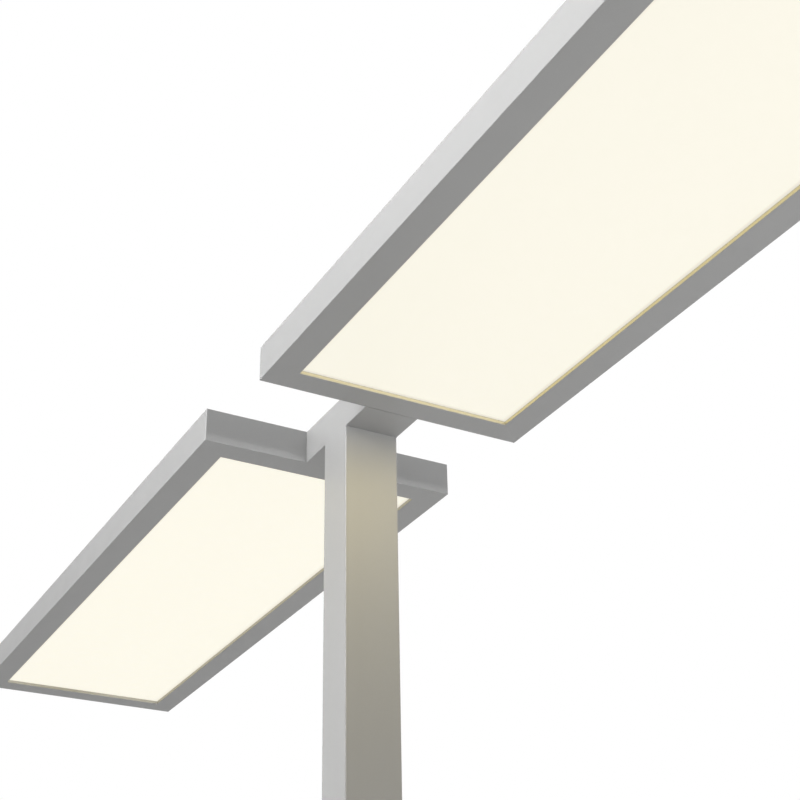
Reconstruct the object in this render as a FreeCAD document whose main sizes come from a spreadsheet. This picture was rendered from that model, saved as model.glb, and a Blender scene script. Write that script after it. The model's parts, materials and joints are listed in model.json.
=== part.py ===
import FreeCAD, Part
import math
import os
import re
import Sketcher
from FreeCAD import Rotation, Vector

# Office floor lamp. A rectangular post stands on a flat steel base and carries a short beam. A flat
# rectangular lighting head is bolted to each end of the beam. Each head is a mitred frame round an
# edge-lit panel that shines down, with a trough of light under a window in its top.
# Frame: millimetres, +Z up, origin on the floor under the middle of the post. X runs along the two
# heads, and -Y is the side that the control faces.

SIZES = [
    # name, value, what it is
    ("overall_height", 1950, "floor to the top of the heads"),
    ("head_length", 880, "head, along the beam"),
    ("head_width", 295, "head, across the beam"),
    ("head_height", 38, "head and beam, top to bottom"),
    ("border", 30, "flat border of the head round the lit opening"),
    ("rail_wall", 2.5, "outer wall of the head's rails"),
    ("flange_thickness", 2, "bottom flange of the rails"),
    ("shelf_width", 8, "thick inner edge of the flange, where the panel lies"),
    ("shelf_height", 4, "depth of the lit opening, from the underside to the panel"),
    ("ledge_width", 9.5, "inner ledge that carries the top cover"),
    ("ledge_thickness", 2, "thickness of that ledge"),
    ("edge_round", 0.6, "rounding of the long edges of rails and beam"),
    ("corner_round", 0.8, "rounding of the upright corners of a head"),
    ("opening_round", 0.6, "rounding of the lower edge of the lit opening"),
    ("key_leg", 30, "leg of a corner key"),
    ("key_thickness", 3, "thickness of a corner key"),
    ("key_height", 20, "height of a corner key"),
    ("panel_lap", 6, "width of panel that lies on the shelf"),
    ("diffuser_thickness", 3, "opal diffuser"),
    ("guide_thickness", 4, "light guide"),
    ("film_thickness", 0.6, "reflector film"),
    ("tray_sheet", 1.5, "sheet of the backing tray"),
    ("strip_thickness", 1.6, "circuit board of the edge light strips"),
    ("strip_gap", 1, "from a strip to the edge of the light guide"),
    ("cover_thickness", 2, "top cover of a head"),
    ("window_length", 580, "window in the top cover"),
    ("window_width", 70, "window in the top cover"),
    ("window_lap", 10, "flange of the window's lens under the cover"),
    ("trough_sheet", 1.5, "sheet of the uplight trough"),
    ("board_width", 40, "uplight circuit board"),
    ("board_thickness", 1.6, "uplight circuit board"),
    ("driver_length", 360, "power supply in each head"),
    ("driver_width", 30, "power supply"),
    ("driver_height", 20, "power supply"),
    ("driver_offset", 75, "middle of the power supply, sideways from the head's middle"),
    ("driver_start", 260, "beam end of the power supply, from the head's end face"),
    ("driver_step_length", 15, "step for the terminals at each end of the power supply"),
    ("driver_step_depth", 5, "the same step"),
    ("driver_step_wall", 3, "sides left beside that step"),
    ("driver_entry", 6.5, "cable entries of the power supply, above the tray"),
    ("standoff_radius", 4, "posts that hold the cover and the tray together"),
    ("standoff_inset", 70, "outer standoffs, from the ends of the head"),
    ("standoff_offset", 108, "standoffs, sideways from the head's middle"),
    ("anchor_thickness", 6, "threaded plate behind the head's end rail"),
    ("beam_length", 140, "beam between the two heads"),
    ("beam_wall", 3, "walls of the beam"),
    ("end_plate", 8, "plates that close the ends of the beam"),
    ("lid_thickness", 2.5, "lid of the beam"),
    ("post_width", 50, "post, along the beam"),
    ("post_depth", 60, "post and beam, across"),
    ("post_wall", 3, "wall of the post"),
    ("post_round", 1.4, "rounding of the post's upright edges"),
    ("foot_height", 80, "block inside the foot of the post"),
    ("neck_height", 60, "block inside the top of the post"),
    ("base_length", 500, "base plate, along the beam"),
    ("base_width", 360, "base plate, across"),
    ("base_thickness", 12, "base plate"),
    ("base_corner", 14, "corner radius of the base plate"),
    ("base_edge", 1.5, "chamfer round the top of the base plate"),
    ("glide_radius", 15, "glides under the base"),
    ("glide_height", 4, "glides under the base"),
    ("glide_sunk", 1, "depth of a glide in the base plate"),
    ("glide_inset", 32, "middle of a glide, from the edges of the base"),
    ("foot_screw_radius", 4, "countersunk screws from the base into the foot block"),
    ("foot_screw_length", 32, "the same screws, with their heads"),
    ("bolt_radius", 3, "socket screws of the beam and the heads, and the set screws"),
    ("bolt_head_radius", 5, "heads of the socket screws"),
    ("bolt_head_height", 6, "heads of the socket screws"),
    ("neck_bolt_length", 20, "socket screws that hold the beam on the post"),
    ("head_bolt_length", 20, "socket screws that hold a head on the beam"),
    ("head_bolt_offset", 18, "head screws, sideways from the beam's middle"),
    ("bolt_level", 21, "head screws and cable way, above the underside"),
    ("bolt_spread_x", 13.5, "screws into the post blocks, along the beam from the middle"),
    ("bolt_spread_y", 18.5, "screws into the post blocks, across from the middle"),
    ("set_screw_length", 12, "set screws in the back of the post"),
    ("set_screw_sunk", 0.5, "set screws, below the face of the post"),
    ("set_screw_low", 22, "set screws, from the near end of a post block"),
    ("set_screw_gap", 24, "between the two set screws of a block"),
    ("small_screw_radius", 1.5, "small countersunk screws"),
    ("small_screw_length", 8, "small countersunk screws, with their heads"),
    ("thread_spare", 1, "depth of a threaded hole past the tip of its screw"),
    ("lid_screw_offset", 10, "lid screws, sideways from the beam's middle"),
    ("cable_way_radius", 10, "cable hole in the top of the post"),
    ("head_way_radius", 7, "cable holes between the beam and the heads"),
    ("post_cable_radius", 3.5, "cable in the post"),
    ("post_cable_offset", 4, "cable in the post, in front of its middle"),
    ("control_cable_radius", 1.5, "cable from the control to the beam"),
    ("control_cable_side", 4.5, "that cable, to the right of the post's middle"),
    ("control_cable_offset", 2, "that cable, behind the post's middle"),
    ("control_cable_bend", 9, "its bends"),
    ("head_cable_radius", 2.5, "cables to the heads"),
    ("head_cable_offset", 3.5, "cables to the heads, behind the beam's middle"),
    ("head_cable_straight", 15, "those cables, straight on past the threaded plates"),
    ("head_cable_bend", 30, "their bends"),
    ("lead_radius", 1, "leads from a power supply to the lights"),
    ("lead_bend", 5, "bends of those leads"),
    ("lead_margin", 30, "the longest lead, past the end of the trough"),
    ("lead_side", 70, "the two short leads, past the middle of the head"),
    ("terminal_length", 26, "terminal block in the beam"),
    ("terminal_width", 22, "terminal block in the beam"),
    ("terminal_height", 24, "terminal block in the beam"),
    ("terminal_start", 24, "near face of the terminal block, from the post's middle"),
    ("terminal_entry", 12, "cable entries of the terminal block, above its foot"),
    ("terminal_low_entry", 8, "entry of the control's cable, above its foot"),
    ("well_radius", 1.6, "screw wells in the terminal block"),
    ("well_depth", 6, "screw wells in the terminal block"),
    ("well_inset", 7, "screw wells, from the two ends of the block"),
    ("well_spacing", 5.5, "screw wells, from one to the next"),
    ("control_level", 1150, "middle of the control, above the floor"),
    ("bezel_width", 30, "face of the control"),
    ("bezel_height", 92, "face of the control"),
    ("bezel_proud", 2, "face of the control, out from the post"),
    ("bezel_round", 4, "corner radius of the control's face"),
    ("control_box_width", 24, "box of the control, inside the post"),
    ("control_box_height", 84, "box of the control, inside the post"),
    ("control_box_depth", 14, "box of the control, from the face of the post"),
    ("control_box_wall", 1.5, "walls of that box"),
    ("key_cap_width", 17, "push buttons"),
    ("key_cap_height", 34, "push buttons"),
    ("key_cap_gap", 5, "between the two push buttons"),
    ("key_cap_proud", 1.4, "push buttons, out from the bezel"),
    ("key_cap_round", 2, "corner radius of the push buttons"),
    ("key_collar", 1, "collar behind the bezel that keeps a button in"),
    ("key_collar_thickness", 1.5, "thickness of that collar"),
    ("key_travel", 1, "how far a button goes in"),
    ("key_stem", 4, "side of the stem behind a button"),
    ("switch_side", 6, "switch under each button"),
    ("switch_height", 2.2, "switch under each button"),
    ("inlet_level", 150, "middle of the mains inlet, above the floor"),
    ("inlet_flange_width", 26, "flange of the inlet"),
    ("inlet_flange_height", 50, "flange of the inlet"),
    ("inlet_flange_thickness", 2.5, "flange of the inlet"),
    ("inlet_round", 4, "corner radius of the inlet's flange"),
    ("inlet_box_width", 20, "housing of the inlet, inside the post"),
    ("inlet_box_height", 28, "housing of the inlet, inside the post"),
    ("inlet_box_depth", 22, "housing of the inlet, from the face of the post"),
    ("socket_width", 17, "hollow of the inlet"),
    ("socket_height", 24.4, "hollow of the inlet"),
    ("socket_depth", 16, "hollow of the inlet"),
    ("socket_corner", 4, "cut corners of the hollow"),
    ("pin_breadth", 4, "flat pins of the inlet"),
    ("pin_thickness", 2, "flat pins of the inlet"),
    ("pin_spacing", 7, "outer pins, from the inlet's middle"),
    ("pin_offset", 2, "earth pin and outer pins, to either side of the middle"),
    ("pin_sunk", 1.5, "tips of the pins, below the flange"),
    ("pin_tab", 8, "tabs of the pins behind the housing"),
    ("inlet_screw_spacing", 20, "screws of the inlet, from its middle"),
    ("slip", 0.15, "side clearance of parts that slide together"),
    ("screw_clearance", 0.05, "round a screw in its thread or seat"),
    ("hole_clearance", 0.3, "round a screw in a plain hole"),
    ("key_clearance", 0.3, "round a push button in its window"),
    ("rest_gap", 0.1, "between parts that stop each other"),
    ("overshoot", 1, "how far a cutter runs past the face that it cuts"),
]

doc = FreeCAD.newDocument("floor_lamp")
sheet = doc.addObject("Spreadsheet::Sheet", "sizes")
for row, (alias, number, note) in enumerate(SIZES, start=1):
    sheet.set(f"A{row}", alias)
    sheet.set(f"B{row}", str(number))
    sheet.setAlias(f"B{row}", alias)
    sheet.set(f"C{row}", note)
doc.recompute()

ALIAS = re.compile(r"\b(" + "|".join(alias for alias, number, note in SIZES) + r")\b")
PIECES = []

# Levels and widths that several pieces share, as formulas of the sizes above.
PLATE_BOTTOM = "(glide_height - glide_sunk)"
PLATE_TOP = "(glide_height - glide_sunk + base_thickness)"
UNDERSIDE = "(overall_height - head_height)"
BEAM_END = "(beam_length / 2)"
POST_FACE = "(post_depth / 2)"
BORE_X = "(post_width / 2 - post_wall)"
BORE_Y = "(post_depth / 2 - post_wall)"
COVER_BOTTOM = "(head_height - cover_thickness)"
LEDGE_BOTTOM = "(head_height - cover_thickness - ledge_thickness)"
LID_BOTTOM = "(head_height - lid_thickness)"
PANEL_EDGE = "(border - panel_lap)"
TRAY_EDGE = "(border - panel_lap - tray_sheet - slip)"
STRIP_EDGE = "(border - panel_lap - slip)"
GUIDE_EDGE = "(border - panel_lap - slip + strip_thickness + strip_gap)"
GUIDE_BOTTOM = "(shelf_height + diffuser_thickness)"
FILM_BOTTOM = "(shelf_height + diffuser_thickness + guide_thickness)"
TRAY_INSIDE = "(shelf_height + diffuser_thickness + guide_thickness + film_thickness)"
TRAY_TOP = "(shelf_height + diffuser_thickness + guide_thickness + film_thickness + tray_sheet)"
WINDOW_START = "((head_length - window_length) / 2)"
WINDOW_END = "((head_length + window_length) / 2)"
TROUGH_START = "((head_length - window_length) / 2 - window_lap)"
TROUGH_END = "((head_length + window_length) / 2 + window_lap)"
TROUGH_SIDE = "(window_width / 2 + window_lap)"
TRAY_SIDE = "(head_width / 2 - border + panel_lap + tray_sheet + slip)"
SHORT_LEADS = "(head_length / 2 + lead_side)"
LONG_LEAD = "((head_length + window_length) / 2 + window_lap + lead_margin)"
STRIP_LEVEL = "(shelf_height + diffuser_thickness + guide_thickness / 2)"
KEY_MIDDLE = "((key_cap_height + key_cap_gap) / 2)"
BEZEL_BACK = "(-post_depth / 2)"
BOARD_FRONT = (
    "(-post_depth / 2 + rest_gap + key_collar_thickness + key_travel + rest_gap"
    " + key_stem + switch_height)"
)
BOARD_LEAD_LEVEL = (
    "(shelf_height + diffuser_thickness + guide_thickness + film_thickness + tray_sheet"
    " + trough_sheet + board_thickness + rest_gap + lead_radius)"
)

# Hexagon sockets of the screws, across their corners, as a share of the shank's radius.
FLAT_SOCKET = 1.3
CAP_SOCKET = 1.9
SET_SOCKET = 1
# Depth of the countersunk screws' sockets, as a share of the shank's radius.
FLAT_SOCKET_DEPTH = 0.7


def formula(text):
    """A formula in plain size names, with each name tied to its cell."""
    return ALIAS.sub(r"sizes.\1", str(text))


def value(text):
    """What a formula comes to, as a plain number."""
    return float(sheet.evalExpression(formula(text)))


def bind(thing, size, text):
    """Ties one size of a solid to the sheet."""
    thing.setExpression(size, formula(text))


FACING = {
    "x": Rotation(Vector(0, 1, 0), 90),
    "-x": Rotation(Vector(0, 1, 0), -90),
    "y": Rotation(Vector(1, 0, 0), -90),
    "-y": Rotation(Vector(1, 0, 0), 90),
    "z": Rotation(),
    "-z": Rotation(Vector(1, 0, 0), 180),
}


def put(thing, place, facing="z"):
    """Moves a solid to a place and turns its own Z axis to face that way."""
    thing.Placement = FreeCAD.Placement(Vector(), FACING[facing])
    for axis, text in zip("xyz", place):
        bind(thing, f"Placement.Base.{axis}", text)
    return thing


def block(x, y, z):
    """A rectangular solid, from its low and high limits along each axis."""
    solid = doc.addObject("Part::Box", "block")
    for size, axis, (low, high) in zip(("Length", "Width", "Height"), "xyz", (x, y, z)):
        bind(solid, size, f"({high}) - ({low})")
        bind(solid, f"Placement.Base.{axis}", low)
    return solid


def centred(width):
    """Limits either side of zero."""
    return f"-({width}) / 2", f"({width}) / 2"


def rod(radius, length, place=(0, 0, 0), facing="z"):
    """A cylinder that starts at a place."""
    solid = doc.addObject("Part::Cylinder", "rod")
    bind(solid, "Radius", radius)
    bind(solid, "Height", length)
    return put(solid, place, facing)


def taper(start_radius, end_radius, length, place=(0, 0, 0)):
    """A cone cut off square, which starts at a place and rises."""
    solid = doc.addObject("Part::Cone", "taper")
    bind(solid, "Radius1", start_radius)
    bind(solid, "Radius2", end_radius)
    bind(solid, "Height", length)
    return put(solid, place)


def hexagon(across_corners, depth):
    """The hollow of a hexagon socket, which opens at the origin's level."""
    solid = doc.addObject("Part::Prism", "hexagon")
    solid.Polygon = 6
    bind(solid, "Circumradius", f"({across_corners}) / 2")
    bind(solid, "Height", depth)
    return solid


def join(parts):
    """One solid made of several."""
    whole = doc.addObject("Part::MultiFuse", "join")
    whole.Shapes = parts
    return whole


def carve(body, tools):
    """A solid with others cut out of it."""
    left = doc.addObject("Part::Cut", "carve")
    left.Base = body
    left.Tool = tools[0] if len(tools) == 1 else join(tools)
    return left


def gather(parts):
    """Several separate solids that go by one name."""
    together = doc.addObject("Part::Compound", "gather")
    together.Links = parts
    return together


def name(thing, label):
    """Gives a finished piece its name."""
    thing.Label = label
    PIECES.append(thing)
    return thing


def sketch(body, plane, loops):
    """Closed outlines of straight lines, each corner tied to the sheet by its two distances."""
    drawing = body.newObject("Sketcher::SketchObject", "outline")
    origin = [f for f in body.Origin.OriginFeatures if f.Role == plane][0]
    drawing.AttachmentSupport = [(origin, "")]
    drawing.MapMode = "FlatFace"
    for loop in loops:
        corners = [Vector(value(x), value(y), 0) for x, y in loop]
        first = drawing.GeometryCount
        for number, corner in enumerate(corners):
            following = corners[(number + 1) % len(corners)]
            drawing.addGeometry(Part.LineSegment(corner, following), False)
        for number, (corner, texts) in enumerate(zip(corners, loop)):
            line = first + number
            following = first + (number + 1) % len(corners)
            drawing.addConstraint(Sketcher.Constraint("Coincident", line, 2, following, 1))
            for kind, place, text in zip(("DistanceX", "DistanceY"), corner, texts):
                if text == "0":
                    axis = -2 if kind == "DistanceX" else -1
                    drawing.addConstraint(Sketcher.Constraint("PointOnObject", line, 1, axis))
                    continue
                index = drawing.addConstraint(
                    Sketcher.Constraint(kind, -1, 1, line, 1, place)
                )
                bind(drawing, f"Constraints[{index}]", text)
    return drawing


def rectangle(x, y):
    """The four corners of a rectangle, from its limits along each axis."""
    return [(x[0], y[0]), (x[1], y[0]), (x[1], y[1]), (x[0], y[1])]


def pad(body, drawing, length, midplane=False):
    """Raises a solid from an outline."""
    feature = body.newObject("PartDesign::Pad", "pad")
    feature.Profile = drawing
    feature.Midplane = midplane
    bind(feature, "Length", length)
    body.Tip = feature
    return feature


def pocket(body, drawing):
    """Cuts an outline right through, both ways."""
    feature = body.newObject("PartDesign::Pocket", "pocket")
    feature.Profile = drawing
    feature.Type = "ThroughAll"
    feature.Midplane = True
    body.Tip = feature
    return feature


def soften(body, kind, size, chosen):
    """Rounds or chamfers the edges of the body's last feature that the test picks by their middles."""
    doc.recompute()
    last = body.Tip
    names = []
    for number, edge in enumerate(last.Shape.Edges, start=1):
        middle = edge.CenterOfMass
        if chosen(edge, middle):
            names.append(f"Edge{number}")
    feature = body.newObject(f"PartDesign::{kind}", kind.lower())
    feature.Base = (last, names)
    bind(feature, "Radius" if kind == "Fillet" else "Size", size)
    body.Tip = feature
    return feature


def near(one, other):
    """True for two lengths that are the same but for rounding."""
    return abs(one - other) < 1e-4


def upright(edge, middle):
    """True for an edge that stands straight up."""
    ends = [vertex.Point for vertex in edge.Vertexes]
    return len(ends) == 2 and abs(ends[0].z - ends[1].z) > 0.9 * edge.Length


def at_level(level):
    """A test for edges at one height."""
    return lambda edge, middle: near(middle.z, level) and not upright(edge, middle)


# Fasteners. Each is made with its outer face at the origin and its shank along +Z, then put in place.


def flat_screw(radius, length):
    """A countersunk screw with a hexagon socket."""
    head = taper(f"2 * ({radius})", radius, radius)
    shank = rod(radius, length)
    socket = hexagon(f"{FLAT_SOCKET} * ({radius})", f"{FLAT_SOCKET_DEPTH} * ({radius})")
    return carve(join([head, shank]), [socket])


def flat_hole(radius, length, shank_clearance):
    """The hole for a countersunk screw: a cone for its head, then a round hole."""
    seat = taper(f"2 * ({radius}) + screw_clearance", f"{radius} + screw_clearance", radius)
    return join([seat, rod(f"{radius} + {shank_clearance}", length)])


def cap_screw(length):
    """A socket screw. The underside of its head is at the origin."""
    head = rod("bolt_head_radius", "bolt_head_height", (0, 0, "-bolt_head_height"))
    socket = hexagon(f"{CAP_SOCKET} * bolt_radius", "bolt_head_height / 2")
    put(socket, (0, 0, "-bolt_head_height"))
    return carve(join([head, rod("bolt_radius", length)]), [socket])


def set_screw():
    """A headless screw with a hexagon socket."""
    socket = hexagon(f"{SET_SOCKET} * bolt_radius", "bolt_radius")
    return carve(rod("bolt_radius", "set_screw_length"), [socket])


def four(spread_x, spread_y):
    """The corners of a rectangle about the middle."""
    return [
        (f"{sx} * ({spread_x})", f"{sy} * ({spread_y})") for sx in (1, -1) for sy in (1, -1)
    ]


# Base


def glide_places():
    """Six glides: one near each corner, and one in the middle of each long side."""
    far_x = "base_length / 2 - glide_inset"
    far_y = "base_width / 2 - glide_inset"
    return four(far_x, far_y) + [("0", far_y), ("0", f"-({far_y})")]


def base_plate():
    """Steel plate with round corners, recesses for the glides and countersunk holes from below."""
    top = value("base_thickness")
    body = doc.addObject("PartDesign::Body", "slab")
    outline = rectangle(centred("base_length"), centred("base_width"))
    pad(body, sketch(body, "XY_Plane", [outline]), "base_thickness")
    soften(body, "Fillet", "base_corner", upright)
    soften(body, "Chamfer", "base_edge", at_level(top))
    put(body, (0, 0, PLATE_BOTTOM))
    recesses = [
        rod("glide_radius + slip", "glide_sunk + overshoot", (x, y, f"{PLATE_BOTTOM} - overshoot"))
        for x, y in glide_places()
    ]
    holes = [
        put(
            flat_hole("foot_screw_radius", "base_thickness + overshoot", "hole_clearance"),
            (x, y, PLATE_BOTTOM),
        )
        for x, y in four("bolt_spread_x", "bolt_spread_y")
    ]
    name(carve(body, recesses + holes), "base_plate")


def glides():
    """Rubber glides with a chamfered foot."""
    feet = []
    for x, y in glide_places():
        foot = taper("glide_radius - glide_sunk / 2", "glide_radius", "glide_sunk / 2")
        disc = rod("glide_radius", "glide_height - glide_sunk / 2", (0, 0, "glide_sunk / 2"))
        feet.append(put(join([foot, disc]), (x, y, 0)))
    name(gather(feet), "glides")


def post_block(low, high, drilled, facing):
    """A block that fills the end of the post, drilled for the screws into its end and its back."""
    body = block(
        (f"-{BORE_X} + slip", f"{BORE_X} - slip"),
        (f"-{BORE_Y} + slip", f"{BORE_Y} - slip"),
        (low, high),
    )
    radius, depth, face = drilled
    tools = [
        rod(f"{radius} + screw_clearance", depth, (x, y, face), facing)
        for x, y in four("bolt_spread_x", "bolt_spread_y")
    ]
    return body, tools


def set_screw_levels():
    """Two set screws hold the foot block and two hold the neck block."""
    foot = f"{PLATE_TOP} + set_screw_low"
    neck = f"{UNDERSIDE} - set_screw_low"
    return [foot, f"{foot} + set_screw_gap", neck, f"{neck} - set_screw_gap"]


def set_screw_bores(levels):
    """Threaded holes through the back of the post and into a block behind it."""
    radius = "bolt_radius + screw_clearance"
    depth = "set_screw_sunk + set_screw_length + thread_spare"
    return [rod(radius, depth, (0, POST_FACE, level), "-y") for level in levels]


def foot_block():
    """The block that the base is screwed to."""
    depth = "foot_screw_length - base_thickness + thread_spare"
    body, tools = post_block(
        PLATE_TOP,
        f"{PLATE_TOP} + foot_height",
        ("foot_screw_radius", depth, PLATE_TOP),
        "z",
    )
    bores = set_screw_bores(set_screw_levels()[:2])
    name(carve(body, tools + bores), "foot_block")


def foot_screws():
    """Four countersunk screws, from under the base plate into the foot block."""
    screws = [
        put(
            flat_screw("foot_screw_radius", "foot_screw_length"),
            (x, y, f"{PLATE_BOTTOM} + screw_clearance"),
        )
        for x, y in four("bolt_spread_x", "bolt_spread_y")
    ]
    name(gather(screws), "foot_screws")


# Post


def post():
    """Rectangular tube with round edges, open for the control in front and the inlet behind."""
    body = doc.addObject("PartDesign::Body", "tube")
    outside = rectangle(centred("post_width"), centred("post_depth"))
    inside = rectangle((f"-{BORE_X}", BORE_X), (f"-{BORE_Y}", BORE_Y))
    pad(body, sketch(body, "XY_Plane", [outside, inside]), f"{UNDERSIDE} - {PLATE_TOP}")
    soften(
        body,
        "Fillet",
        "post_round",
        lambda edge, middle: upright(edge, middle) and near(abs(middle.x), value("post_width / 2")),
    )
    put(body, (0, 0, PLATE_TOP))
    control = block(
        centred("control_box_width + 2 * slip"),
        (f"-{POST_FACE} - overshoot", f"-{BORE_Y} + overshoot"),
        (
            "control_level - control_box_height / 2 - slip",
            "control_level + control_box_height / 2 + slip",
        ),
    )
    inlet = block(
        centred("inlet_box_width + 2 * slip"),
        (f"{BORE_Y} - overshoot", f"{POST_FACE} + overshoot"),
        (
            "inlet_level - inlet_box_height / 2 - slip",
            "inlet_level + inlet_box_height / 2 + slip",
        ),
    )
    threads = [
        rod("small_screw_radius + screw_clearance", "small_screw_length", (0, POST_FACE, level), "-y")
        for level in inlet_screw_levels()
    ]
    bores = set_screw_bores(set_screw_levels())
    name(carve(body, [control, inlet] + threads + bores), "post_tube")


def neck_block():
    """The block that the beam is screwed to, with a way for the cable."""
    body, tools = post_block(
        f"{UNDERSIDE} - neck_height",
        UNDERSIDE,
        ("bolt_radius", "neck_bolt_length + thread_spare", UNDERSIDE),
        "-z",
    )
    way = rod(
        "cable_way_radius",
        "neck_height + 2 * overshoot",
        (0, 0, f"{UNDERSIDE} - neck_height - overshoot"),
    )
    bores = set_screw_bores(set_screw_levels()[2:])
    name(carve(body, tools + [way] + bores), "neck_block")


def set_screws():
    """Set screws in the back of the post, two to each block."""
    screws = [
        put(set_screw(), (0, f"{POST_FACE} - set_screw_sunk", level), "-y")
        for level in set_screw_levels()
    ]
    name(gather(screws), "post_set_screws")


# Control: a bezel let into the front of the post, two push buttons and the switch board behind them


def key_limits(sign, grown):
    """Limits of one push button, grown all round."""
    middle = f"control_level + {sign} * {KEY_MIDDLE}"
    return (
        (f"-key_cap_width / 2 - {grown}", f"key_cap_width / 2 + {grown}"),
        (f"{middle} - key_cap_height / 2 - {grown}", f"{middle} + key_cap_height / 2 + {grown}"),
    )


def rounded_front(width, height, level, back, front, corner):
    """A flat plate that stands upright with round corners, between two distances along Y."""
    body = doc.addObject("PartDesign::Body", "face")
    pad(
        body,
        sketch(body, "XY_Plane", [rectangle(centred(width), centred(height))]),
        f"({back}) - ({front})",
    )
    soften(body, "Fillet", corner, upright)
    return put(body, (0, front, level), "y")


def control_bezel():
    """Face plate and open-backed box, with a window for each button."""
    face = rounded_front(
        "bezel_width",
        "bezel_height",
        "control_level",
        BEZEL_BACK,
        f"{BEZEL_BACK} - bezel_proud",
        "bezel_round",
    )
    low = "control_level - control_box_height / 2"
    high = "control_level + control_box_height / 2"
    box = block(
        centred("control_box_width"), (BEZEL_BACK, f"{BEZEL_BACK} + control_box_depth"), (low, high)
    )
    hollow = block(
        centred("control_box_width - 2 * control_box_wall"),
        (BEZEL_BACK, f"{BEZEL_BACK} + control_box_depth + overshoot"),
        (f"{low} + control_box_wall", f"{high} - control_box_wall"),
    )
    windows = []
    for sign in (1, -1):
        windows.append(
            rounded_front(
                "key_cap_width + 2 * key_clearance",
                "key_cap_height + 2 * key_clearance",
                f"control_level + {sign} * {KEY_MIDDLE}",
                f"{BEZEL_BACK} + overshoot",
                f"{BEZEL_BACK} - bezel_proud - overshoot",
                "key_cap_round + key_clearance",
            )
        )
    name(carve(join([face, box]), [hollow] + windows), "control_bezel")


def push_button(sign, label):
    """A cap with a collar behind the bezel and a stem towards its switch."""
    middle = f"control_level + {sign} * {KEY_MIDDLE}"
    collar_front = f"{BEZEL_BACK} + rest_gap"
    collar_back = f"{BEZEL_BACK} + rest_gap + key_collar_thickness"
    cap = rounded_front(
        "key_cap_width",
        "key_cap_height",
        middle,
        collar_back,
        f"{BEZEL_BACK} - bezel_proud - key_cap_proud",
        "key_cap_round",
    )
    collar_x, collar_z = key_limits(sign, "key_collar")
    collar = block(collar_x, (collar_front, collar_back), collar_z)
    stem = block(
        centred("key_stem"),
        (collar_back, f"{BOARD_FRONT} - switch_height - key_travel - rest_gap"),
        (f"{middle} - key_stem / 2", f"{middle} + key_stem / 2"),
    )
    name(join([cap, collar, stem]), label)


def control_board():
    """Circuit board in the back of the control's box, with a switch behind each button."""
    inner = "control_box_width - 2 * control_box_wall - 2 * slip"
    reach = "control_box_height / 2 - control_box_wall - slip"
    board = block(
        centred(inner),
        (BOARD_FRONT, f"{BOARD_FRONT} + board_thickness"),
        (f"control_level - ({reach})", f"control_level + {reach}"),
    )
    switches = []
    for sign in (1, -1):
        middle = f"control_level + {sign} * {KEY_MIDDLE}"
        switches.append(
            block(
                centred("switch_side"),
                (f"{BOARD_FRONT} - switch_height", BOARD_FRONT),
                (f"{middle} - switch_side / 2", f"{middle} + switch_side / 2"),
            )
        )
    name(join([board] + switches), "control_board")


# Mains inlet: a recessed socket let into the back of the post, with three flat pins


def inlet_screw_levels():
    """The two screws of the inlet, below and above it."""
    return ["inlet_level - inlet_screw_spacing", "inlet_level + inlet_screw_spacing"]


def pin_places():
    """Middles of the three flat pins, from the inlet's middle: the two outer ones and the earth pin."""
    return [("-pin_offset", "pin_spacing"), ("-pin_offset", "-pin_spacing"), ("pin_offset", "0")]


def pin_solids(grown):
    """The pins, or the slots for them."""
    pins = []
    for x, z in pin_places():
        pins.append(
            block(
                (f"{x} - pin_breadth / 2 - {grown}", f"{x} + pin_breadth / 2 + {grown}"),
                (
                    f"{POST_FACE} - inlet_box_depth - pin_tab",
                    f"{POST_FACE} + inlet_flange_thickness - pin_sunk",
                ),
                (
                    f"inlet_level + {z} - pin_thickness / 2 - {grown}",
                    f"inlet_level + {z} + pin_thickness / 2 + {grown}",
                ),
            )
        )
    return pins


def inlet_housing():
    """Flange and housing of the inlet, with the hollow that the connector goes into."""
    front = f"{POST_FACE} + inlet_flange_thickness"
    flange = rounded_front(
        "inlet_flange_width", "inlet_flange_height", "inlet_level", front, POST_FACE, "inlet_round"
    )
    box = block(
        centred("inlet_box_width"),
        (f"{POST_FACE} - inlet_box_depth", POST_FACE),
        ("inlet_level - inlet_box_height / 2", "inlet_level + inlet_box_height / 2"),
    )
    hollow = doc.addObject("PartDesign::Body", "hollow")
    half_x, half_z = "socket_width / 2", "socket_height / 2"
    outline = [
        (f"-{half_x}", f"-{half_z}"),
        (f"{half_x} - socket_corner", f"-{half_z}"),
        (half_x, f"-{half_z} + socket_corner"),
        (half_x, f"{half_z} - socket_corner"),
        (f"{half_x} - socket_corner", half_z),
        (f"-{half_x}", half_z),
    ]
    pad(hollow, sketch(hollow, "XY_Plane", [outline]), "socket_depth + overshoot")
    put(hollow, (0, f"{front} - socket_depth", "inlet_level"), "y")
    screws = [
        put(
            flat_hole("small_screw_radius", "inlet_flange_thickness + overshoot", "hole_clearance"),
            (0, front, level),
            "-y",
        )
        for level in inlet_screw_levels()
    ]
    name(
        carve(join([flange, box]), [hollow] + pin_solids("screw_clearance") + screws),
        "inlet_housing",
    )


def inlet_screws():
    """Two small screws that hold the inlet."""
    front = f"{POST_FACE} + inlet_flange_thickness - screw_clearance"
    screws = [
        put(flat_screw("small_screw_radius", "small_screw_length"), (0, front, level), "-y")
        for level in inlet_screw_levels()
    ]
    name(gather(screws), "inlet_screws")


# Beam: an upright channel between the heads, with plates in its ends and a lid let into its top


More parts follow.
